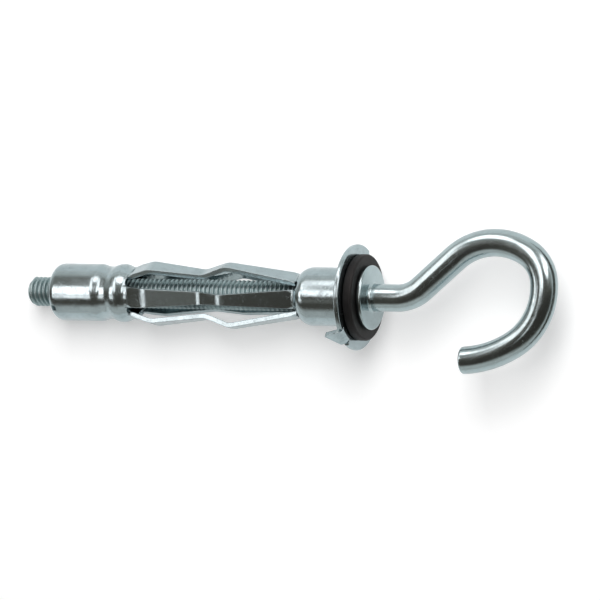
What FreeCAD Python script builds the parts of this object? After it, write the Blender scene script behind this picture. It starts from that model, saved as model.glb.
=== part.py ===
import FreeCAD, Part
import math
import os
import re
import Sketcher

# Swag hook on a hollow-wall anchor, for a 10 mm hole in a ceiling board.
# The anchor's axis is Z. Z = 0 is the face of the flange that seats on the ceiling, the sleeve stands
# above it in the board, and the hook hangs below it in the XZ plane.

# Driving dimensions in millimetres, degrees and counts
driving = {
    "sheet_gauge": (0.8, "thickness of the sleeve's sheet"),
    "cut_margin": (0.1, "how far the outline of a cut runs past an edge"),
    "sleeve_dia": (9.5, "outside of the sleeve's plain ends"),
    "sleeve_length": (53.8, "seat to the rolled end"),
    "flange_dia": (17.0, "flange"),
    "flange_bend": (0.5, "inside bend between flange and sleeve"),
    "rim_rounding": (0.25, "rounded rim of the flange"),
    "front_length": (8.0, "plain front end of the sleeve, from the seat"),
    "neck_dia": (7.15, "necked end that the legs leave"),
    "neck_height": (9.3, "start of the neck, from the seat"),
    "neck_band": (0.3, "straight band of the neck"),
    "shoulder_radius": (2.5, "bend from the plain front end to the neck's slope"),
    "neck_radius": (0.5, "bend at the foot of that slope"),
    "groove_dia": (8.76, "bottom of the rolled groove under the nut"),
    "groove_flat": (1.2, "straight bottom of the groove"),
    "bead_dia": (9.6, "bead between groove and legs"),
    "bead_flat": (1.0, "straight crest of the bead"),
    "root_dia": (8.6, "end of the sleeve that the legs leave, under the bead"),
    "root_band": (0.8, "straight band under the bead"),
    "roll_flank": (1.13, "length of the slope at a groove or bead"),
    "roll_radius": (1.6, "bend radius at a groove or bead"),
    "lip_bend": (0.45, "inside bend of the rolled end"),
    "lip_land": (0.55, "flat of the rolled end round its opening"),
    "stake_count": (3, "stakes that hold the nut from turning"),
    "stake_angle": (-5, "direction of the first stake, from +X"),
    "stake_width": (1.0, "width of a stake"),
    "stake_height": (1.6, "length of a stake along the sleeve"),
    "stake_depth": (0.55, "depth of a stake in the rolled end"),
    "stake_start": (30, "foot of a stake, as an angle round the rolled end"),
    "stake_stop": (45, "head of a stake, as an angle round the rolled end"),
    "leg_count": (5, "folding legs"),
    "leg_angle": (-27.5, "direction of the first leg, from +X"),
    "leg_inset": (0.15, "flat of a leg below the round of its roots"),
    "leg_overlap": (0.62, "run of a leg on the tube under the bead"),
    "leg_trim": (0.03, "height of a leg's trimmed corners above the tube at its roots"),
    "leg_blend": (1.6, "length over which a leg turns from round to flat"),
    "root_flare": (0.7, "rise of the trimmed corners over that length, near the nut"),
    "neck_flare": (0.5, "rise of the trimmed corners over that length, at the neck"),
    "leg_bend": (2.6, "bend radius along the middle of a leg"),
    "outer_fold_reach": (5.18, "axis to the outside of the fold near the nut"),
    "outer_fold_drop": (3.45, "fold near the nut, from the legs' root"),
    "inner_fold_reach": (5.55, "axis to the outside of the fold near the flange"),
    "inner_fold_rise": (12.05, "fold near the flange, from the neck"),
    "inward_fold_reach": (4.03, "axis to the outside of the inward fold"),
    "inward_fold_rise": (4.4, "inward fold, from the fold near the flange"),
    "leg_root_width": (3.5, "width of a leg at the nut's end"),
    "leg_neck_width": (3.1, "width of a leg at the neck"),
    "leg_waist_width": (1.7, "narrowest width of a leg"),
    "leg_waist_rise": (0.4, "narrowest place of a leg, from the fold near the flange"),
    "leg_waist_rounding": (8.0, "rounding of the leg's edge at its narrowest"),
    "slot_root_width": (2.1, "slot between two legs at the nut's end"),
    "slot_root_depth": (0.45, "slot's end in the tube near the nut"),
    "slot_root_rounding": (0.95, "rounded end of the slot near the nut"),
    "slot_neck_width": (1.5, "slot between two legs at the neck"),
    "slot_neck_depth": (1.2, "slot's end in the neck"),
    "slot_neck_rounding": (0.68, "rounded end of the slot at the neck"),
    "prong_count": (2, "prongs bent up from the flange"),
    "prong_angle": (39.0, "direction of the first prong, from +X"),
    "prong_width": (2.9, "width of a prong at its root"),
    "prong_shoulder": (0.3, "height of the prong's square root above the seat"),
    "prong_length": (2.45, "height of a prong above the seat"),
    "prong_point": (0.25, "blunt point of a prong"),
    "prong_lean": (0.5, "point of the prong from its middle"),
    "prong_bend": (0.4, "inside bend of a prong"),
    "prong_relief": (0.2, "gap between a prong's root and the side of its notch"),
    "notch_reach": (7.4, "axis to the bottom of a prong's notch"),
    "notch_rounding": (0.2, "inside corner of a notch"),
    "notch_corner": (0.6, "rounded corner of the flange beside a notch"),
    "thread_dia": (4.9, "outside of the thread"),
    "thread_end": (58.8, "seat to the end of the thread"),
    "thread_chamfer": (0.7, "chamfer at the end of the thread"),
    "thread_clearance": (0.05, "gap round the thread in the nut"),
    "nut_length": (7.5, "threaded bush in the rolled end"),
    "nut_clearance": (0.02, "gap between nut and sleeve"),
    "nut_rounding": (0.4, "edge of the nut at the groove"),
    "ring_dia": (13.85, "soft ring"),
    "ring_height": (1.5, "thickness of the soft ring"),
    "ring_rounding": (0.35, "rounded rim of the soft ring"),
    "ring_clearance": (0.1, "gap between soft ring and thread"),
    "ring_gap": (0.05, "gap over and under the soft ring"),
    "collar_dia": (10.4, "upset collar"),
    "collar_height": (0.85, "thickness of the collar"),
    "collar_rounding": (0.3, "rounded rim of the collar"),
    "wire_dia": (4.4, "bent wire"),
    "wire_fillet": (0.45, "fillet between wire and collar"),
    "wire_neck": (3.8, "straight wire under the collar"),
    "crank_radius": (6.25, "bend that leads the wire aside"),
    "crank_turn": (41.0, "turn of that bend"),
    "crank_run": (7.45, "slanting straight run"),
    "crown_radius": (10.45, "wide bend over the hook's crown"),
    "crown_turn": (72.4, "turn of the crown"),
    "bowl_radius": (5.9, "tight bend at the bottom of the hook's bowl"),
    "bowl_turn": (53.5, "turn of the tight bend"),
    "return_radius": (10.55, "bend that brings the wire back under the collar"),
    "return_turn": (63.7, "turn of that bend"),
    "tip_radius": (18.2, "nearly straight bend to the tip"),
    "tip_turn": (28.5, "turn of the bend to the tip"),
    "tip_rounding": (0.4, "rounded edge of the wire's end"),
}

doc = FreeCAD.newDocument("swag_hook")
sheet = doc.addObject("Spreadsheet::Sheet", "sizes")
for row, (alias, (size, note)) in enumerate(driving.items(), start=1):
    sheet.set(f"A{row}", note)
    sheet.set(f"B{row}", str(size))
    sheet.setAlias(f"B{row}", alias)
doc.recompute()

# Levels and radii that several pieces share, as formulas of the driving dimensions
sleeve_r = "sleeve_dia / 2"
seat = "0"
flange_face = "-sheet_gauge"
lip_r = "(lip_bend + sheet_gauge)"
lip_bore_r = f"{sleeve_r} - {lip_r} - lip_land"
nut_top = "sleeve_length - sheet_gauge - nut_clearance"
nut_base = f"{nut_top} - nut_length"
groove_top = f"{nut_base} - nut_clearance"
groove_high = f"{groove_top} - roll_flank"
groove_low = f"{groove_high} - groove_flat"
bead_high = f"{groove_low} - roll_flank"
bead_low = f"{bead_high} - bead_flat"
root_top = f"{bead_low} - roll_flank"
root_end = f"{root_top} - root_band"
leg_start = f"{root_end} + leg_overlap"
neck_end = "neck_height + neck_band"
inner_fold = f"{neck_end} + inner_fold_rise"
prong_inside = "notch_reach + prong_bend"
prong_outside = f"{prong_inside} + sheet_gauge"
thread_r = "thread_dia / 2"
wire_r = "wire_dia / 2"
ring_top = f"{flange_face} - ring_gap"
ring_base = f"{ring_top} - ring_height"
collar_top = f"{ring_base} - ring_gap"
collar_base = f"{collar_top} - collar_height"
wire_start = f"{collar_base} - wire_fillet"


def formula(text):
    # A formula in plain words, with each driving dimension named in its sheet
    def in_sheet(word):
        return f"sizes.{word[0]}" if word[0] in driving else word[0]

    return re.sub(r"[a-z][a-z_]+", in_sheet, text)


def number(text):
    result = sheet.evalExpression(formula(text))
    return float(getattr(result, "Value", result))


def add_body(label):
    body = doc.addObject("PartDesign::Body", label)
    body.Label = label
    body.AllowCompound = True
    return body


def origin(body, role):
    return next(item for item in body.Origin.OriginFeatures if item.Role == role)


def add_sketch(body, name, plane, angle=None, reach=None):
    # A sketch on an origin plane, turned about Z by an angle and set out from the axis by a reach
    sketch = body.newObject("Sketcher::SketchObject", name)
    sketch.AttachmentSupport = (origin(body, plane), [""])
    sketch.MapMode = "FlatFace"
    if angle:
        axis = FreeCAD.Vector(0, 0, 1) if plane == "XY_Plane" else FreeCAD.Vector(0, 1, 0)
        sketch.AttachmentOffset = FreeCAD.Placement(FreeCAD.Vector(), FreeCAD.Rotation(axis, number(angle)))
        sketch.setExpression("AttachmentOffset.Rotation.Angle", formula(angle))
    if reach:
        sketch.setExpression("AttachmentOffset.Base.x", formula(f"({reach}) * sin({angle})"))
        sketch.setExpression("AttachmentOffset.Base.z", formula(f"({reach}) * cos({angle})"))
    return sketch


def constrain(sketch, kind, *places, size=None):
    # One constraint, whose size follows a formula
    if size is None:
        sketch.addConstraint(Sketcher.Constraint(kind, *places))
        return
    index = sketch.addConstraint(Sketcher.Constraint(kind, *places, number(size)))
    sketch.setExpression(f"Constraints[{index}]", formula(size))


def fix_point(sketch, shape, place, x, y):
    # A point held at formulas for its two coordinates
    if x == "0":
        constrain(sketch, "PointOnObject", shape, place, -2)
    else:
        constrain(sketch, "DistanceX", -1, 1, shape, place, size=x)
    if y == "0":
        constrain(sketch, "PointOnObject", shape, place, -1)
    else:
        constrain(sketch, "DistanceY", -1, 1, shape, place, size=y)


def draw(sketch, corners, closed=True):
    # Lines through the corners (x, y) or (x, y, radius), with a tangent arc where there is a radius
    count = len(corners)
    spots = [FreeCAD.Vector(number(corner[0]), number(corner[1]), 0) for corner in corners]
    arrive = list(spots)
    leave = list(spots)
    arcs = {}
    for i, corner in enumerate(corners):
        if len(corner) == 2:
            continue
        back = (spots[i - 1] - spots[i]).normalize()
        ahead = (spots[(i + 1) % count] - spots[i]).normalize()
        half = back.getAngle(ahead) / 2
        radius = number(corner[2])
        arrive[i] = spots[i] + back * (radius / math.tan(half))
        leave[i] = spots[i] + ahead * (radius / math.tan(half))
        centre = spots[i] + (back + ahead).normalize() * (radius / math.sin(half))
        turns_left = back.cross(ahead).z < 0
        start, end = (arrive[i], leave[i]) if turns_left else (leave[i], arrive[i])
        circle = Part.Circle(centre, FreeCAD.Vector(0, 0, 1), radius)
        arcs[i] = (Part.ArcOfCircle(circle, circle.parameter(start), circle.parameter(end)), turns_left)
    lines = []
    for i in range(count if closed else count - 1):
        lines.append(sketch.addGeometry(Part.LineSegment(leave[i], arrive[(i + 1) % count])))
    for i, corner in enumerate(corners):
        before = lines[i - 1] if closed or i > 0 else None
        after = lines[i] if i < len(lines) else None
        if i not in arcs:
            if before is not None and after is not None:
                constrain(sketch, "Coincident", before, 2, after, 1)
            line, place = (after, 1) if after is not None else (before, 2)
            fix_point(sketch, line, place, corner[0], corner[1])
            continue
        arc, turns_left = arcs[i]
        first, last = (1, 2) if turns_left else (2, 1)
        bend = sketch.addGeometry(arc)
        apex = sketch.addGeometry(Part.Point(spots[i]), True)
        constrain(sketch, "Tangent", before, 2, bend, first)
        constrain(sketch, "Tangent", bend, last, after, 1)
        constrain(sketch, "Radius", bend, size=corner[2])
        fix_point(sketch, apex, 1, corner[0], corner[1])
        constrain(sketch, "PointOnObject", apex, 1, before)
        constrain(sketch, "PointOnObject", apex, 1, after)


def revolve(body, name, corners):
    # A ring or shaft from its half section, radius and height
    sketch = add_sketch(body, f"{name}_section", "XZ_Plane")
    draw(sketch, corners)
    feature = body.newObject("PartDesign::Revolution", name)
    feature.Profile = sketch
    feature.ReferenceAxis = (sketch, ["V_Axis"])
    feature.Angle = 360
    doc.recompute()
    return feature


def turn_down(body, name, corners):
    # A cut right round the axis
    sketch = add_sketch(body, f"{name}_section", "XZ_Plane")
    draw(sketch, corners)
    feature = body.newObject("PartDesign::Groove", name)
    feature.Profile = sketch
    feature.ReferenceAxis = (sketch, ["V_Axis"])
    feature.Angle = 360
    doc.recompute()
    return feature


def extrude(body, name, kind, sketch, length, midplane=False, outward=False):
    feature = body.newObject(f"PartDesign::{kind}", name)
    feature.Profile = sketch
    feature.setExpression("Length", formula(length))
    if midplane:
        feature.SideType = "Symmetric"
    feature.Reversed = outward
    doc.recompute()
    return feature


def cut(body, name, sketch, length, midplane=False, outward=False):
    # A cut that has to take something away
    before = body.Shape.Volume
    feature = extrude(body, name, "Pocket", sketch, length, midplane, outward)
    if body.Shape.Volume > before - 1e-6:
        raise RuntimeError(f"{name} cuts nothing")
    return feature


def repeat_round(body, name, features, count):
    pattern = body.newObject("PartDesign::PolarPattern", name)
    pattern.Originals = features
    pattern.Axis = (origin(body, "Z_Axis"), [""])
    pattern.Angle = 360
    pattern.setExpression("Occurrences", formula(count))
    body.Tip = pattern
    doc.recompute()
    return pattern


def tail_tube(sleeve):
    # The end that holds the nut: rolled lip, plain wall, groove under the nut, bead and leg roots
    def wall(inset, lip_rounding):
        return [
            (f"root_dia / 2 {inset}", root_end),
            (f"root_dia / 2 {inset}", root_top, "roll_radius"),
            (f"bead_dia / 2 {inset}", bead_low, "roll_radius"),
            (f"bead_dia / 2 {inset}", bead_high, "roll_radius"),
            (f"groove_dia / 2 {inset}", groove_low, "roll_radius"),
            (f"groove_dia / 2 {inset}", groove_high, "roll_radius"),
            (f"{sleeve_r} {inset}", groove_top, "roll_radius"),
            (f"{sleeve_r} {inset}", f"sleeve_length {inset}", lip_rounding),
            (lip_bore_r, f"sleeve_length {inset}"),
        ]

    outside = wall("", lip_r)
    inside = wall("- sheet_gauge", "lip_bend")
    revolve(sleeve, "tail_tube", outside + inside[::-1])


def front_tube(sleeve):
    # The end at the ceiling: flange, plain wall and neck
    inner_r = f"{sleeve_r} - sheet_gauge"
    revolve(sleeve, "front_tube", [
        ("flange_dia / 2", flange_face, "rim_rounding"),
        ("flange_dia / 2", seat, "rim_rounding"),
        (sleeve_r, seat, "flange_bend"),
        (sleeve_r, "front_length", "shoulder_radius"),
        ("neck_dia / 2", "neck_height", "neck_radius"),
        ("neck_dia / 2", neck_end),
        ("neck_dia / 2 - sheet_gauge", neck_end),
        ("neck_dia / 2 - sheet_gauge", "neck_height", "neck_radius"),
        (inner_r, "front_length", "shoulder_radius"),
        (inner_r, flange_face, "flange_bend + sheet_gauge"),
    ])


def slot_ends(sleeve):
    # Rounded ends of the slots, cut in both tubes between the legs
    sketch = add_sketch(sleeve, "slot_outline", "YZ_Plane", "leg_angle + 180 / leg_count")
    for slot, end, mouth in (
        ("slot_root", f"{root_end} + slot_root_depth", f"{root_end} - sheet_gauge"),
        ("slot_neck", f"{neck_end} - slot_neck_depth", f"{neck_end} + sheet_gauge"),
    ):
        draw(sketch, [
            (f"-{slot}_width / 2", mouth),
            (f"{slot}_width / 2", mouth),
            (f"{slot}_width / 2", end, f"{slot}_rounding"),
            (f"-{slot}_width / 2", end, f"{slot}_rounding"),
        ])
    pocket = cut(sleeve, "slot_end", sketch, "bead_dia", outward=True)
    repeat_round(sleeve, "slot_ends", [pocket], "leg_count")


def legs(sleeve):
    # One flat strip, folded out, in and out again along its length, then narrowed to its waist
    middle = "sheet_gauge / 2"
    root_reach = f"root_dia / 2 - leg_inset - {middle}"
    neck_reach = f"neck_dia / 2 - leg_inset - {middle}"
    folds = add_sketch(sleeve, "leg_folds", "XZ_Plane", "leg_angle")
    draw(folds, [
        (root_reach, leg_start),
        (root_reach, root_end, "leg_bend"),
        (f"outer_fold_reach - {middle}", f"{root_end} - outer_fold_drop", "leg_bend"),
        (f"inward_fold_reach - {middle}", f"{inner_fold} + inward_fold_rise", "leg_bend"),
        (f"inner_fold_reach - {middle}", inner_fold, "leg_bend"),
        (neck_reach, neck_end, "leg_bend"),
        (neck_reach, "neck_height"),
    ], closed=False)
    section = add_sketch(sleeve, "leg_section", "XY_Plane", "leg_angle")
    section.setExpression("AttachmentOffset.Base.z", formula(leg_start))
    draw(section, [
        (f"{root_reach} - {middle}", "-leg_root_width / 2"),
        (f"{root_reach} + {middle}", "-leg_root_width / 2"),
        (f"{root_reach} + {middle}", "leg_root_width / 2"),
        (f"{root_reach} - {middle}", "leg_root_width / 2"),
    ])
    strip = sleeve.newObject("PartDesign::AdditivePipe", "leg_strip")
    strip.Profile = section
    strip.Spine = (folds, [""])
    doc.recompute()
    edges = add_sketch(sleeve, "leg_edges", "YZ_Plane", "leg_angle")
    spare = "leg_root_width / 2 + cut_margin"
    for side in ("", "-"):
        draw(edges, [
            (f"{side}({spare})", leg_start),
            (f"{side}leg_root_width / 2", leg_start),
            (f"{side}leg_waist_width / 2", f"{inner_fold} + leg_waist_rise", "leg_waist_rounding"),
            (f"{side}leg_neck_width / 2", "neck_height"),
            (f"{side}({spare})", "neck_height"),
        ])
    taper = cut(sleeve, "leg_taper", edges, "sleeve_dia", outward=True)
    repeat_round(sleeve, "legs", [strip, taper], "leg_count")


def leg_roots(sleeve):
    # The legs' corners, turned down to the tube at their roots and let out again as the legs go flat
    past = "outer_fold_reach + cut_margin"
    root_trim = "root_dia / 2 + leg_trim"
    neck_trim = "neck_dia / 2 + leg_trim"
    turn_down(sleeve, "root_corners", [
        (root_trim, f"{leg_start} + leg_trim"),
        (past, f"{leg_start} + leg_trim"),
        (past, f"{root_end} - leg_blend"),
        (f"{root_trim} + root_flare", f"{root_end} - leg_blend"),
        (root_trim, root_end),
    ])
    turn_down(sleeve, "neck_corners", [
        (neck_trim, "neck_height + leg_trim"),
        (neck_trim, neck_end),
        (f"{neck_trim} + neck_flare", f"{neck_end} + leg_blend"),
        (past, f"{neck_end} + leg_blend"),
        (past, "neck_height + leg_trim"),
    ])


def prongs(sleeve):
    # A notch in the flange, a tab bent up from its bottom, and the tab's saw-tooth point
    notch = add_sketch(sleeve, "notch_outline", "XY_Plane", "prong_angle")
    rim = "flange_dia / 2 - rim_rounding"
    past = "flange_dia / 2 + notch_corner"
    half = "(prong_width / 2 + prong_relief)"
    wide = f"{half} + 2 * notch_corner"
    draw(notch, [
        ("notch_reach", f"-{half}", "notch_rounding"),
        (rim, f"-{half}", "notch_corner"),
        (rim, f"-({wide})"),
        (past, f"-({wide})"),
        (past, wide),
        (rim, wide),
        (rim, half, "notch_corner"),
        ("notch_reach", half, "notch_rounding"),
    ])
    notch_cut = cut(sleeve, "prong_notch", notch, "2 * sheet_gauge")
    fold = add_sketch(sleeve, "prong_fold", "XZ_Plane", "prong_angle")
    draw(fold, [
        ("notch_reach - sheet_gauge", flange_face),
        (prong_outside, flange_face, "prong_bend + sheet_gauge"),
        (prong_outside, "prong_length"),
        (prong_inside, "prong_length"),
        (prong_inside, seat, "prong_bend"),
        ("notch_reach - sheet_gauge", seat),
    ])
    tab = extrude(sleeve, "prong_tab", "Pad", fold, "prong_width", midplane=True)
    within = f"{prong_inside} - sheet_gauge / 2"
    point = add_sketch(sleeve, "prong_outline", "YZ_Plane", "prong_angle", within)
    for side, flank in (("-", "prong_lean - prong_point / 2"), ("", "prong_lean + prong_point / 2")):
        draw(point, [
            (f"{side}(prong_width / 2 + cut_margin)", "prong_shoulder"),
            (f"{side}prong_width / 2", "prong_shoulder"),
            (flank, "prong_length"),
            (flank, "prong_length + sheet_gauge"),
            (f"{side}(prong_width / 2 + cut_margin)", "prong_length + sheet_gauge"),
        ])
    sharpen = cut(sleeve, "prong_point", point, "2 * sheet_gauge", outward=True)
    repeat_round(sleeve, "prongs", [notch_cut, tab, sharpen], "prong_count")


def stakes(sleeve):
    # Dents struck in the shoulder of the rolled end
    outline = add_sketch(sleeve, "stake_outline", "XZ_Plane", "stake_angle")
    lip_base = f"sleeve_length - {lip_r}"
    struck = f"({lip_r} - stake_depth)"
    top = f"{lip_base} + {lip_r} * sin(stake_stop)"
    reach = f"{sleeve_r} - {lip_r} + {struck} * cos(stake_start)"
    draw(outline, [
        (reach, f"{lip_base} + {struck} * sin(stake_start)"),
        (f"{sleeve_r} + stake_depth", f"{top} - stake_height"),
        (f"{sleeve_r} + stake_depth", top),
    ])
    dent = cut(sleeve, "stake", outline, "stake_width", midplane=True)
    repeat_round(sleeve, "stakes", [dent], "stake_count")


def make_sleeve():
    sleeve = add_body("anchor_sleeve")
    tail_tube(sleeve)
    front_tube(sleeve)
    slot_ends(sleeve)
    legs(sleeve)
    leg_roots(sleeve)
    prongs(sleeve)
    stakes(sleeve)
    return sleeve


def make_nut():
    # Threaded bush held between the groove and the rolled end
    nut = add_body("captive_nut")
    bore = f"{thread_r} + thread_clearance"
    outside = f"{sleeve_r} - sheet_gauge - nut_clearance"
    revolve(nut, "bush", [
        (bore, nut_base),
        (outside, nut_base, "nut_rounding"),
        (outside, nut_top, "lip_bend"),
        (bore, nut_top),
    ])
    return nut


def make_ring():
    # Soft ring that the collar presses on the flange
    ring = add_body("cushion_ring")
    bore = f"{thread_r} + ring_clearance"
    revolve(ring, "ring", [
        (bore, ring_base),
        ("ring_dia / 2", ring_base, "ring_rounding"),
        ("ring_dia / 2", ring_top, "ring_rounding"),
        (bore, ring_top),
    ])
    return ring


def bend_wire(sketch, steps, x, y):
    # Straight runs and tangent bends from a start that points down; a positive turn goes to the left
    spot = FreeCAD.Vector(number(x), number(y), 0)
    heading = -90.0
    last = None
    for length, turn in steps:
        forward = FreeCAD.Vector(math.cos(math.radians(heading)), math.sin(math.radians(heading)), 0)
        if turn is None:
            end = spot + forward * number(length)
            run = sketch.addGeometry(Part.LineSegment(spot, end))
            start_place, end_place = 1, 2
            constrain(sketch, "Distance", run, size=length)
        else:
            sweep = number(turn)
            side = math.copysign(1.0, sweep)
            left = FreeCAD.Vector(-forward.y, forward.x, 0)
            centre = spot + left * side * number(length)
            first = heading - side * 90.0
            ends = sorted((math.radians(first), math.radians(first + sweep)))
            circle = Part.Circle(centre, FreeCAD.Vector(0, 0, 1), number(length))
            run = sketch.addGeometry(Part.ArcOfCircle(circle, *ends))
            start_place, end_place = (1, 2) if sweep > 0 else (2, 1)
            constrain(sketch, "Radius", run, size=length)
            index = sketch.addConstraint(Sketcher.Constraint("Angle", run, math.radians(abs(sweep))))
            sketch.setExpression(f"Constraints[{index}]", formula(f"abs({turn}) * 1 deg"))
            heading += sweep
            end = sketch.getPoint(run, end_place)
        if last is None:
            fix_point(sketch, run, start_place, x, y)
            constrain(sketch, "Vertical", run)
        else:
            constrain(sketch, "Tangent", last[0], last[1], run, start_place)
        last = (run, end_place)
        spot = end
    return spot


def make_hook():
    # One wire: threaded shank, upset collar and bent hook
    hook = add_body("hook_bolt")
    revolve(hook, "shank", [
        ("0", "thread_end"),
        (f"{thread_r} - thread_chamfer", "thread_end"),
        (thread_r, "thread_end - thread_chamfer"),
        (thread_r, collar_top),
        ("collar_dia / 2", collar_top, "collar_rounding"),
        ("collar_dia / 2", collar_base, "collar_rounding"),
        (wire_r, collar_base, "wire_fillet"),
        (wire_r, f"{collar_base} - 2 * wire_fillet"),
        ("0", f"{collar_base} - 2 * wire_fillet"),
    ])
    route = add_sketch(hook, "wire_route", "XZ_Plane")
    steps = (
        ("wire_neck", None),
        ("crank_radius", "crank_turn"),
        ("crank_run", None),
        ("crown_radius", "-crown_turn"),
        ("bowl_radius", "-bowl_turn"),
        ("return_radius", "-return_turn"),
        ("tip_radius", "-tip_turn"),
    )
    tip = bend_wire(route, steps, "0", wire_start)
    section = add_sketch(hook, "wire_section", "XY_Plane")
    section.setExpression("AttachmentOffset.Base.z", formula(wire_start))
    upward = FreeCAD.Vector(0, 0, 1)
    circle = section.addGeometry(Part.Circle(FreeCAD.Vector(), upward, number(wire_r)))
    constrain(section, "Coincident", circle, 3, -1, 1)
    constrain(section, "Radius", circle, size=wire_r)
    wire = hook.newObject("PartDesign::AdditivePipe", "wire")
    wire.Profile = section
    wire.Spine = (route, [""])
    doc.recompute()
    tip_spot = FreeCAD.Vector(tip.x, 0, tip.y)
    rims = []
    for i, edge in enumerate(wire.Shape.Edges, start=1):
        if edge.CenterOfMass.distanceToPoint(tip_spot) < number(wire_r) / 2 and edge.isClosed():
            rims.append(f"Edge{i}")
    rounding = hook.newObject("PartDesign::Fillet", "tip_edge")
    rounding.Base = (wire, rims)
    rounding.setExpression("Radius", formula("tip_rounding"))
    doc.recompute()
    return hook


pieces = [make_sleeve(), make_nut(), make_ring(), make_hook()]
doc.recompute()

for item in doc.Objects:
    if "Invalid" in item.State or "Error" in item.State:
        raise RuntimeError(f"{item.Label} failed: {item.State}")
for piece in pieces:
    if piece.Shape.isNull() or not piece.Shape.isValid() or len(piece.Shape.Solids) != 1:
        raise RuntimeError(f"{piece.Label} is not one valid solid")

os.makedirs("parts", exist_ok=True)
for piece in pieces:
    piece.Shape.exportStep(f"parts/{piece.Label}.step")
    box = piece.Shape.BoundBox
    extents = " x ".join(f"{length:.2f}" for length in (box.XLength, box.YLength, box.ZLength))
    print(f"{piece.Label}: {piece.Shape.Volume:.2f} mm3, {extents} mm")
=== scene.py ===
import math
import bpy
import bmesh
from mathutils import Matrix, Vector


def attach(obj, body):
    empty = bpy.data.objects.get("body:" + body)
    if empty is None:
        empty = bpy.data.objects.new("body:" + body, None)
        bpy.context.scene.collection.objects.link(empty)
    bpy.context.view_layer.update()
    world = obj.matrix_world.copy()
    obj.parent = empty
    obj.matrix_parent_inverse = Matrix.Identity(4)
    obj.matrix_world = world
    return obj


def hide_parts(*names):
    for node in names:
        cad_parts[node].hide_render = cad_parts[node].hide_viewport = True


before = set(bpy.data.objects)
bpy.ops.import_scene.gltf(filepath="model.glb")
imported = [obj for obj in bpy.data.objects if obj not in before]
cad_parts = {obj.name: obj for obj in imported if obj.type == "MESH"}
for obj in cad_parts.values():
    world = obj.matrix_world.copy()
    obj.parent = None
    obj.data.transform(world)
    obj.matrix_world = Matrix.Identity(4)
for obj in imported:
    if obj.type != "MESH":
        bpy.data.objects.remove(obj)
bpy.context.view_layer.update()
mm = 0.001
print("frame loaded")


# Shader maths: a Sock is a node's output that can be added, multiplied and compared like a number
class Sock:
    def __init__(self, tree, socket):
        self.tree = tree
        self.socket = socket

    def node(self, kind, settings=None, values=None):
        made = self.tree.nodes.new(kind)
        for name, setting in (settings or {}).items():
            if name == "stops":
                putStops(made.color_ramp, setting)
            else:
                setattr(made, name, setting)
        for name, value in (values or {}).items():
            socket = made.inputs[name]
            if isinstance(value, Sock):
                self.tree.links.new(value.socket, socket)
            else:
                socket.default_value = value
        return made

    def out(self, kind, settings=None, values=None, output=0):
        return Sock(self.tree, self.node(kind, settings, values).outputs[output])

    def calc(self, operation, first, second=0.0):
        return self.out("ShaderNodeMath", {"operation": operation}, {0: first, 1: second})

    def __add__(self, other):
        return self.calc("ADD", self, other)

    def __radd__(self, other):
        return self.calc("ADD", other, self)

    def __sub__(self, other):
        return self.calc("SUBTRACT", self, other)

    def __rsub__(self, other):
        return self.calc("SUBTRACT", other, self)

    def __mul__(self, other):
        return self.calc("MULTIPLY", self, other)

    def __rmul__(self, other):
        return self.calc("MULTIPLY", other, self)

    def __gt__(self, other):
        return self.calc("GREATER_THAN", self, other)

    def atMost(self, other):
        return self.calc("MINIMUM", self, other)

    def atLeast(self, other):
        return self.calc("MAXIMUM", self, other)


def putStops(ramp, stops):
    while len(ramp.elements) > 1:
        ramp.elements.remove(ramp.elements[-1])
    for i, (place, grey) in enumerate(stops):
        stop = ramp.elements[0] if i == 0 else ramp.elements.new(place)
        stop.position = place
        stop.color = (grey, grey, grey, 1)


def newMaterial(name):
    made = bpy.data.materials.new(name)
    made.use_nodes = True
    made.node_tree.nodes.clear()
    start = Sock(made.node_tree, None)
    coords = start.out("ShaderNodeTexCoord", output=3)                       # Object coordinates
    return made, start, coords


def mixColour(start, factor, first, second):
    return start.out("ShaderNodeMix", {"data_type": "RGBA"}, {0: factor, 6: first, 7: second}, output=2)


def shownRays(start):                                                       # 1 for rays that show, else 0
    rays = start.node("ShaderNodeLightPath")
    kinds = ("Is Camera Ray", "Is Glossy Ray", "Is Transmission Ray")
    seen, mirrored, through = [Sock(start.tree, rays.outputs[kind]) for kind in kinds]
    return seen.atLeast(mirrored).atLeast(through)


# Camera at the photograph's angle: the anchor lies across the picture, seen a little from the hook's side
photoView = dict(
    lens=210.0,                                                             # mm
    sensor=36.0,                                                            # mm
    nearest=0.01,                                                           # m
    distance=564.0 * mm,
    turn=25.0,                                                              # degrees towards the hook's end
    roll=1.1,                                                               # degrees, hook's end down
    aim=(-0.60 * mm, 0.0, 9.63 * mm),
)


def makeCamera(view):
    cosTurn = math.cos(math.radians(view["turn"]))
    sinTurn = math.sin(math.radians(view["turn"]))
    cosRoll = math.cos(math.radians(view["roll"]))
    sinRoll = math.sin(math.radians(view["roll"]))
    flatRight = Vector((0, sinTurn, -cosTurn))
    flatUp = Vector((1, 0, 0))
    right = flatRight * cosRoll + flatUp * sinRoll
    up = flatUp * cosRoll - flatRight * sinRoll
    back = Vector((0, -cosTurn, -sinTurn))
    lens = bpy.data.cameras.new("photoCamera")
    lens.lens = view["lens"]
    lens.sensor_width = view["sensor"]
    lens.clip_start = view["nearest"]
    camera = bpy.data.objects.new("photoCamera", lens)
    place = Vector(view["aim"]) + back * view["distance"]
    camera.matrix_world = Matrix((right, up, back)).transposed().to_4x4()
    camera.matrix_world.translation = place
    bpy.context.scene.collection.objects.link(camera)
    bpy.context.scene.camera = camera


makeCamera(photoView)
print("camera placed")


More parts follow.
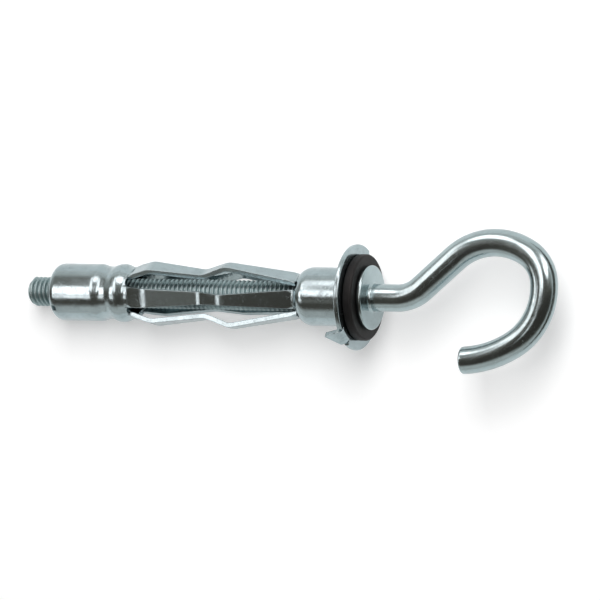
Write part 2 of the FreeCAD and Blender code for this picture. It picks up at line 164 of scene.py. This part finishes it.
# Zinc plate: pale blue-grey metal with drawn streaks along Z, faint mottling and small pits
zincSheet = dict(
    colour=(0.37, 0.455, 0.475, 1), dull=(0.265, 0.33, 0.345, 1), gloss=0.13, spread=0.10,
    streak=0.25, pits=0.35, mottle=1.0, relief=0.50, edge=0.16 * mm,
)
zincWire = dict(
    colour=(0.355, 0.44, 0.455, 1), dull=(0.295, 0.365, 0.375, 1), gloss=0.14, spread=0.09,
    streak=0.12, pits=0.25, mottle=0.9, relief=0.40, edge=0.06 * mm,
    # the thread's tint and share paint shade from the sleeve onto the thread
    threadShadeTint=(0.23, 0.315, 0.32, 1), threadShadeShare=0.6, threadGloss=0.22,
)
zincNut = dict(
    colour=(0.36, 0.43, 0.45, 1), dull=(0.28, 0.335, 0.35, 1), gloss=0.24, spread=0.12,
    streak=0.20, pits=0.30, mottle=1.0, relief=0.50, edge=0.08 * mm,
)

# Marks that all zinc has: noise scales per metre, the noise range each mark takes, and its weight
zincMarks = dict(
    cloudScale=420.0, mottleScale=2400.0, streakScale=6500.0, grainScale=9000.0, streakStretch=0.06,
    cloudRange=(0.35, 0.70), speckRange=(0.52, 0.68), pitStops=((0.0, 1.0), (0.30, 1.0), (0.40, 0.0)),
    cloudWear=0.5, speckWear=0.35, pitGloss=0.20, streakHeight=0.5, pitHeight=0.4, grainHeight=0.3,
    depth=0.02 * mm, edgeSamples=6,
)


def noise(start, coords, scale, detail):
    return start.out("ShaderNodeTexNoise", None, {"Vector": coords, "Scale": scale, "Detail": detail})


def towards(start, value, first, last):                                     # 0 at first, 1 at last
    return start.out("ShaderNodeMapRange", None, {"Value": value, "From Min": first, "From Max": last})


def zincMaterial(name, look, marks, threadFrom=None):
    made, start, coords = newMaterial(name)
    cloud = start.out("ShaderNodeTexNoise", None, {
        "Vector": coords, "Scale": marks["cloudScale"], "Detail": 4.0, "Roughness": 0.6})
    mottle = noise(start, coords, marks["mottleScale"], detail=2.0)
    stretch = (1.0, 1.0, marks["streakStretch"])
    stretched = start.out("ShaderNodeMapping", None, {"Vector": coords, "Scale": stretch})
    streaks = noise(start, stretched, marks["streakScale"], detail=3.0) * look["streak"]
    grain = noise(start, coords, marks["grainScale"], detail=2.0)
    pits = start.out("ShaderNodeValToRGB", {"stops": marks["pitStops"]}, {"Fac": grain})
    tone = towards(start, cloud, *marks["cloudRange"])
    speck = towards(start, mottle, *marks["speckRange"])
    wear = (tone * marks["cloudWear"] + streaks + speck * marks["speckWear"]).atMost(1.0)
    colour = mixColour(start, wear, look["colour"], look["dull"])
    rough = look["gloss"] + look["spread"] * tone + marks["pitGloss"] * look["pits"] * (pits + speck)
    if threadFrom is not None:                                              # rougher on the thread, and darker there as painted shade from the sleeve around it
        spot = start.node("ShaderNodeSeparateXYZ", None, {0: coords})
        onThread = Sock(start.tree, spot.outputs[2]) > threadFrom
        rough = rough + onThread * look["threadGloss"]
        # painted shade: the thread's colour is pulled towards a darker teal
        colour = mixColour(start, onThread * look["threadShadeShare"], colour, look["threadShadeTint"])
    soft = start.out("ShaderNodeBevel", {"samples": marks["edgeSamples"]}, {"Radius": look["edge"]})
    height = (marks["streakHeight"] * streaks - marks["pitHeight"] * look["pits"] * pits
              + marks["grainHeight"] * grain + mottle * look["mottle"])
    bump = start.out("ShaderNodeBump", None, {
        "Strength": look["relief"], "Distance": marks["depth"], "Height": height, "Normal": soft})
    skin = start.out("ShaderNodeBsdfPrincipled", None, {
        "Base Color": colour, "Metallic": 1.0, "Roughness": rough, "Normal": bump})
    start.node("ShaderNodeOutputMaterial", None, {"Surface": skin})
    return made


# Soft ring: black rubber with a dull bloom
rubberLook = dict(
    colour=(0.004, 0.004, 0.004, 1), bloom=(0.010, 0.010, 0.010, 1), gloss=0.46, spread=0.14, shine=0.22,
    cloudScale=600.0, grainScale=7000.0, relief=0.15, depth=0.03 * mm,
)


def rubberMaterial(name, look):
    made, start, coords = newMaterial(name)
    cloud = noise(start, coords, look["cloudScale"], detail=5.0)
    grain = noise(start, coords, look["grainScale"], detail=2.0)
    colour = mixColour(start, cloud, look["colour"], look["bloom"])
    bump = start.out("ShaderNodeBump", None, {
        "Strength": look["relief"], "Distance": look["depth"], "Height": grain})
    skin = start.out("ShaderNodeBsdfPrincipled", None, {
        "Base Color": colour, "Roughness": look["gloss"] + look["spread"] * cloud, "Normal": bump,
        "Specular IOR Level": look["shine"]})
    start.node("ShaderNodeOutputMaterial", None, {"Surface": skin})
    return made


finishes = {
    "anchor_sleeve": zincMaterial("sheetZinc", zincSheet, zincMarks),
    "captive_nut": zincMaterial("nutZinc", zincNut, zincMarks),
    "cushion_ring": rubberMaterial("blackRubber", rubberLook),
}
for nodeName, finish in finishes.items():
    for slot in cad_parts[nodeName].material_slots:
        slot.material = finish
print("CAD pieces finished")


# Hook bolt: rolled thread, collar and bent wire in one piece, lengths in mm, turns in degrees
hookBolt = dict(
    crest=2.45, pitch=0.8, depth=0.46, threadEnd=58.8, endChamfer=0.7, turnSteps=48, profileSteps=10,
    rootShare=0.10, crestShare=0.94, weld=0.002,
    collarTop=-2.4, collarRadius=5.2, collarHeight=0.85, collarRounding=0.3,
    wireRadius=2.2, wireFillet=0.45, wireNeck=3.8, boreInset=0.3,
    crankRadius=6.25, crankTurn=41.0, crankRun=7.45, crownRadius=10.45, crownTurn=72.4,
    bowlRadius=5.9, bowlTurn=53.5, returnRadius=10.55, returnTurn=63.7,
    tipRadius=18.2, tipTurn=28.5, tipRounding=0.4, ringSteps=64, bendStep=2.0, sharpFrom=40.0,
)
quarter = [math.radians(15 * i) for i in range(7)]                          # a quarter turn in six steps


def threadTree(size, finish):
    tree = bpy.data.node_groups.new("screwThread", "GeometryNodeTree")
    for name in ("Crest", "Pitch", "Depth", "Start", "End", "Chamfer"):
        tree.interface.new_socket(name, in_out="INPUT", socket_type="NodeSocketFloat")
    tree.interface.new_socket("Geometry", in_out="OUTPUT", socket_type="NodeSocketGeometry")
    start = Sock(tree, None)
    given = start.node("NodeGroupInput")
    crest, pitch, depth, low, high, chamfer = [Sock(tree, socket) for socket in given.outputs[:6]]
    turns = math.ceil((size["threadEnd"] - size["collarTop"]) / size["pitch"]) + 2
    grid = start.out("GeometryNodeMeshGrid", None, {
        "Size X": 1.0, "Size Y": 1.0, "Vertices X": turns * size["turnSteps"] + 1,
        "Vertices Y": size["profileSteps"] + 1})
    spot = start.node("ShaderNodeSeparateXYZ", None, {0: start.out("GeometryNodeInputPosition")})
    along = (Sock(tree, spot.outputs[0]) + 0.5) * float(turns)              # turns of the helix
    across = Sock(tree, spot.outputs[1]) + 0.5                              # 0 to 1 over one pitch
    level = (low + pitch * (along + across - 1.0)).atLeast(low).atMost(high)
    fromRoot = start.calc("ABSOLUTE", across - 0.5) * 2.0
    rise = start.out("ShaderNodeMapRange", {"interpolation_type": "SMOOTHSTEP"},
                     {"Value": fromRoot, "From Min": size["rootShare"], "From Max": size["crestShare"]})
    radius = crest - depth * (1.0 - rise)
    radius = radius.atMost(crest - chamfer + (high - level)).atMost(crest - depth + (level - low))
    angle = along * (2.0 * math.pi)                                         # right-hand thread
    ring = start.out("ShaderNodeCombineXYZ", None, {
        0: radius * start.calc("COSINE", angle), 1: radius * start.calc("SINE", angle), 2: level})
    body = start.out("GeometryNodeSetPosition", None, {"Geometry": grid, "Position": ring})
    caps = []
    for span, height in ((crest - depth, low), (crest - chamfer, high)):
        disc = start.out("GeometryNodeMeshCircle", {"fill_type": "NGON"}, {
            "Vertices": size["turnSteps"], "Radius": span})
        lift = start.out("ShaderNodeCombineXYZ", None, {2: height})
        caps.append(start.out("GeometryNodeTransform", None, {"Geometry": disc, "Translation": lift}))
    joined = start.node("GeometryNodeJoinGeometry")
    for part in [body] + caps:
        tree.links.new(part.socket, joined.inputs[0])
    welded = start.out("GeometryNodeMergeByDistance", None, {
        "Geometry": Sock(tree, joined.outputs[0]), "Distance": size["weld"]})
    plain = start.out("GeometryNodeRealizeInstances", None, {"Geometry": welded})
    coated = start.out("GeometryNodeSetMaterial", None, {"Geometry": plain, "Material": finish})
    start.node("NodeGroupOutput", None, {"Geometry": coated})
    return tree


def makeThread(size, finish):
    tree = threadTree(size, finish)
    holder = bpy.data.objects.new("threadDraft", bpy.data.meshes.new("threadDraft"))
    bpy.context.scene.collection.objects.link(holder)
    modifier = holder.modifiers.new("screwThread", "NODES")
    modifier.node_group = tree
    given = {"Crest": size["crest"], "Pitch": size["pitch"], "Depth": size["depth"],
             "Start": size["collarTop"] - size["boreInset"], "End": size["threadEnd"],
             "Chamfer": size["endChamfer"]}
    for item in tree.interface.items_tree:
        if item.in_out == "INPUT":
            modifier[item.identifier] = given[item.name]
    view = bpy.context.evaluated_depsgraph_get()
    mesh = bpy.data.meshes.new_from_object(holder.evaluated_get(view))
    holder.modifiers.remove(modifier)
    bpy.data.objects.remove(holder)
    return mesh


def hookStations(size):                                                     # level below flange, radius
    top = -size["collarTop"]
    base = top + size["collarHeight"]
    edge = size["collarRadius"]
    curve = size["collarRounding"]
    fillet = size["wireFillet"]
    made = [(top, size["crest"] - size["depth"] - size["boreInset"]), (top, edge - curve)]
    for swing in quarter[1:]:                                               # upper edge of the collar
        made.append((top + curve - curve * math.cos(swing), edge - curve + curve * math.sin(swing)))
    for swing in quarter:                                                   # lower edge
        made.append((base - curve + curve * math.sin(swing), edge - curve + curve * math.cos(swing)))
    flat = size["wireRadius"] + fillet
    for swing in quarter:                                                   # hollow between collar and wire
        made.append((base + fillet - fillet * math.cos(swing), flat - fillet * math.sin(swing)))
    return made


def hookPath(size):                                                         # centre line and heading
    down = -size["collarTop"] + size["collarHeight"] + size["wireFillet"] + size["wireNeck"]
    aside = 0.0
    heading = 0.0
    made = [(down, aside, heading)]
    for turn, radius, run in ((size["crankTurn"], size["crankRadius"], size["crankRun"]),
                              (-size["crownTurn"], size["crownRadius"], 0.0),
                              (-size["bowlTurn"], size["bowlRadius"], 0.0),
                              (-size["returnTurn"], size["returnRadius"], 0.0),
                              (-size["tipTurn"], size["tipRadius"], 0.0)):
        steps = math.ceil(abs(turn) / size["bendStep"])
        side = math.copysign(1.0, turn)
        middleDown = down - side * radius * math.sin(heading)
        middleAside = aside + side * radius * math.cos(heading)
        first = heading
        for i in range(1, steps + 1):
            heading = first + math.radians(turn) * i / steps
            down = middleDown + side * radius * math.sin(heading)
            aside = middleAside - side * radius * math.cos(heading)
            made.append((down, aside, heading))
        if run:
            down += run * math.cos(heading)
            aside += run * math.sin(heading)
            made.append((down, aside, heading))
    return made


def makeHook(size, finish):
    rings = [(level, 0.0, 0.0, radius) for level, radius in hookStations(size)]
    path = hookPath(size)
    wire = size["wireRadius"]
    rings += [(down, aside, heading, wire) for down, aside, heading in path[:-1]]
    down, aside, heading = path[-1]
    curve = size["tipRounding"]
    for swing in quarter:                                                   # rounded end of the wire
        back = curve * (1.0 - math.sin(swing))
        rings.append((down - back * math.cos(heading), aside - back * math.sin(heading), heading,
                      wire - curve + curve * math.cos(swing)))
    work = bmesh.new()
    loops = []
    for down, aside, heading, radius in rings:
        loop = []
        for i in range(size["ringSteps"]):
            swing = 2.0 * math.pi * i / size["ringSteps"]
            inPlane = radius * math.cos(swing)
            loop.append(work.verts.new((aside + inPlane * math.cos(heading), radius * math.sin(swing),
                                        -(down - inPlane * math.sin(heading)))))
        loops.append(loop)
    for first, second in zip(loops, loops[1:]):
        for i in range(len(first)):
            j = (i + 1) % len(first)
            work.faces.new((first[i], first[j], second[j], second[i]))
    work.faces.new(loops[0])
    work.faces.new(loops[-1])
    work.from_mesh(makeThread(size, finish))
    for corner in work.verts:
        corner.co *= mm
    bmesh.ops.recalc_face_normals(work, faces=work.faces)
    mesh = bpy.data.meshes.new("hookBolt")
    work.to_mesh(mesh)
    work.free()
    mesh.materials.clear()
    mesh.materials.append(finish)
    for face in mesh.polygons:
        face.use_smooth = True
        face.material_index = 0
    mesh.set_sharp_from_angle(angle=math.radians(size["sharpFrom"]))
    piece = bpy.data.objects.new("hookBolt", mesh)
    bpy.context.scene.collection.objects.link(piece)
    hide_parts("hook_bolt")
    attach(piece, "hook")


wireZinc = zincMaterial("wireZinc", zincWire, zincMarks, threadFrom=hookBolt["collarTop"] * mm)
makeHook(hookBolt, wireZinc)
print("hook bolt made")


# Stage: the pale surface behind the part, on which the tail and the flange's rim rest
floorPlan = dict(
    touch=8.52 * mm,                                                        # rim of the flange
    seatLevel=-0.8 * mm,
    slope=0.0705,
    half=1.2,
    colour=(0.80, 0.80, 0.80, 1),
    glow=0.405,
)


def makeFloor(plan):
    corners = []
    for x, z in ((-1, -1), (-1, 1), (1, 1), (1, -1)):
        height = plan["touch"] + plan["slope"] * (plan["seatLevel"] - z * plan["half"])
        corners.append((x * plan["half"], height, z * plan["half"]))
    mesh = bpy.data.meshes.new("paleFloor")
    mesh.from_pydata(corners, [], [(0, 1, 2, 3)])
    floor = bpy.data.objects.new("paleFloor", mesh)
    bpy.context.scene.collection.objects.link(floor)
    mesh.update()
    if mesh.polygons[0].normal.y > 0:
        mesh.flip_normals()
    made, start = newMaterial("palePaper")[:2]
    shows = shownRays(start)
    paper = start.out("ShaderNodeBsdfDiffuse", None, {"Color": plan["colour"]})
    glow = start.out("ShaderNodeEmission", None, {"Color": (1, 1, 1, 1), "Strength": plan["glow"]})
    bright = start.out("ShaderNodeAddShader", None, {0: paper, 1: glow})
    front = start.out("ShaderNodeMixShader", None, {0: shows, 1: paper, 2: bright})
    clear = start.out("ShaderNodeBsdfTransparent")
    reverse = start.out("ShaderNodeNewGeometry", output="Backfacing")
    both = start.out("ShaderNodeMixShader", None, {0: reverse, 1: front, 2: clear})
    start.node("ShaderNodeOutputMaterial", None, {"Surface": both})
    mesh.materials.append(made)


makeFloor(floorPlan)


# Light tent on the camera's side, which only reflections see: dark where the camera stands, with lit panels
tentPlan = dict(
    radius=0.10,
    centre=10.0 * mm,
    steps=36,
    rows=40,
    side=90.0,                                                              # degrees to each side
    top=89.0,                                                               # degrees up and down
    dark=0.055,
    warm=(0.19, 0.03, -0.13),                                               # tint of the darks
    warmTo=0.14,
    lampWarm=0.16,                                                          # red added to the brightest
    ends=((-5, 12, 0.09),),                                                 # rise from, rise to, level
    left=(-47, -61, 0.76),                                                  # turn from, turn to, level
    leanFrom=-18,                                                           # the left leans out below this
    lean=0.5,
    blur=(1.5, 0.6),                                                        # soft edge of a panel
    zones=((-12, 10, 0.18), (12, 38, 0.50), (62, 78, 0.90)),                # turn from, turn to, level
    panels=(                                                                # turn, rise, half sizes, level
        (44, 47, 18, 8, 0.26),
        (6, 48, 15.5, 7, 3.6),
        (13, 21, 11.5, 5.5, 3.0),
        (33, 31.5, 26, 9.5, 2.6),
        (55, 20, 9, 6, 1.5),
        (53, 1, 13, 18, 3.6),
        (27, -27, 26, 10.5, 3.6),
        (3, -13, 3.5, 6, 3.0),
        (-12, -18, 4, 5, 2.0),
        (52, -60.5, 31, 8, 3.6),
        (-18, 22, 7, 7, 0.22),
        (-18, 45, 6, 11, 2.2),
    ),
)


def fourth(value):
    square = value * value
    return square * square


def makeTent(plan):
    corners = []
    for j in range(plan["rows"] + 1):
        rise = math.radians(plan["top"] * (2.0 * j / plan["rows"] - 1.0))
        for i in range(plan["steps"] + 1):
            turn = math.radians(plan["side"] * (2.0 * i / plan["steps"] - 1.0))
            corners.append((plan["radius"] * math.sin(turn) * math.cos(rise),
                            -plan["radius"] * math.cos(turn) * math.cos(rise),
                            plan["radius"] * math.sin(rise) + plan["centre"]))
    wide = plan["steps"] + 1
    cloths = []
    for j in range(plan["rows"]):
        for i in range(plan["steps"]):
            cloths.append((j * wide + i, j * wide + i + 1, (j + 1) * wide + i + 1, (j + 1) * wide + i))
    mesh = bpy.data.meshes.new("lightTent")
    mesh.from_pydata(corners, [], cloths)
    made, start, coords = newMaterial("tentCloth")
    spot = start.node("ShaderNodeSeparateXYZ", None, {0: coords})
    x, y, z = [Sock(start.tree, socket) for socket in spot.outputs]
    degrees = 180.0 / math.pi
    turn = start.calc("ARCTAN2", x, 0.0 - y) * degrees
    rise = start.calc("ARCSINE", (z - plan["centre"]) * (1.0 / plan["radius"])) * degrees
    shade = plan["dark"]
    for first, last, level in plan["ends"]:
        shade = shade + (level - shade) * towards(start, rise, first, last)
    leaning = turn + plan["lean"] * (plan["leanFrom"] - rise).atLeast(0.0)
    first, last, level = plan["left"]
    shade = shade + (level - shade) * towards(start, leaning, first, last)
    for first, last, level in plan["zones"]:
        shade = shade + (level - shade) * towards(start, turn, first, last)
    for middle, height, halfWide, halfHigh, level in plan["panels"]:
        across = (turn - middle) * (1.0 / halfWide)
        upward = (rise - height) * (1.0 / halfHigh)
        reach = fourth(across) + fourth(upward)
        shade = shade + (level - shade) * towards(start, reach, *plan["blur"])
    warmth = shade.atMost(plan["warmTo"])
    red, green, blue = [shade + warmth * share for share in plan["warm"]]
    red = red + plan["lampWarm"] * (shade - 1.0).atLeast(0.0)
    tint = start.out("ShaderNodeCombineColor", None, {0: red, 1: green, 2: blue})
    glow = start.out("ShaderNodeEmission", None, {"Color": tint, "Strength": 1.0})
    start.node("ShaderNodeOutputMaterial", None, {"Surface": glow})
    mesh.materials.append(made)
    hangUp(mesh)


def hangUp(mesh):                                                           # seen in reflections alone
    item = bpy.data.objects.new(mesh.name, mesh)
    bpy.context.scene.collection.objects.link(item)
    item.visible_camera = False
    item.visible_diffuse = False
    item.visible_shadow = False
    item.visible_transmission = False


makeTent(tentPlan)


# Dark card on the floor beyond the hook, outside the picture, seen only in reflections: it paints a dark
# reflection along the hook's outer edge
cardPlan = dict(near=-50.0 * mm, far=-250.0 * mm, half=0.15, above=0.3 * mm, colour=(0.11, 0.10, 0.085, 1))


def makeCard(plan, ground):
    corners = []
    for x, z in ((-1, "near"), (1, "near"), (1, "far"), (-1, "far")):
        height = ground["touch"] + ground["slope"] * (ground["seatLevel"] - plan[z]) - plan["above"]
        corners.append((x * plan["half"], height, plan[z]))
    mesh = bpy.data.meshes.new("darkCard")
    mesh.from_pydata(corners, [], [(0, 1, 2, 3)])
    made, start = newMaterial("darkCard")[:2]
    glow = start.out("ShaderNodeEmission", None, {"Color": plan["colour"], "Strength": 1.0})
    start.node("ShaderNodeOutputMaterial", None, {"Surface": glow})
    mesh.materials.append(made)
    hangUp(mesh)


makeCard(cardPlan, floorPlan)


# One broad lamp over the hook's side, which throws the soft shadow
broadLamp = dict(power=4.5, width=0.62, height=0.34, turn=27, rise=-14, distance=0.70)


def makeLamp(name, plan):
    turn = math.radians(plan["turn"])                                       # towards +X, up in the picture
    rise = math.radians(plan["rise"])                                       # towards +Z, the tail
    away = Vector((math.sin(turn) * math.cos(rise), -math.cos(turn) * math.cos(rise), math.sin(rise)))
    lamp = bpy.data.lights.new(name, "AREA")
    lamp.shape = "RECTANGLE"
    lamp.size = plan["width"]
    lamp.size_y = plan["height"]
    lamp.energy = plan["power"]
    holder = bpy.data.objects.new(name, lamp)
    side = Vector((1, 0, 0)) - away * away.x
    side.normalize()
    holder.matrix_world = Matrix((side, away.cross(side), away)).transposed().to_4x4()
    holder.matrix_world.translation = away * plan["distance"]
    holder.visible_glossy = False
    holder.visible_camera = False
    bpy.context.scene.collection.objects.link(holder)


makeLamp("broadLamp", broadLamp)


# Room: white where it is seen, dim where it only lights
roomFill = 0.15


def makeWorld(fill):
    world = bpy.data.worlds.new("paleRoom")
    bpy.context.scene.world = world
    world.use_nodes = True
    world.node_tree.nodes.clear()
    start = Sock(world.node_tree, None)
    shows = shownRays(start)
    dim = start.out("ShaderNodeBackground", None, {"Color": (1, 1, 1, 1), "Strength": fill})
    white = start.out("ShaderNodeBackground", None, {"Color": (1, 1, 1, 1), "Strength": 1.0})
    sky = start.out("ShaderNodeMixShader", None, {0: shows, 1: dim, 2: white})
    start.node("ShaderNodeOutputWorld", None, {"Surface": sky})


makeWorld(roomFill)
bpy.context.scene.view_settings.view_transform = "Standard"
print("stage lit")
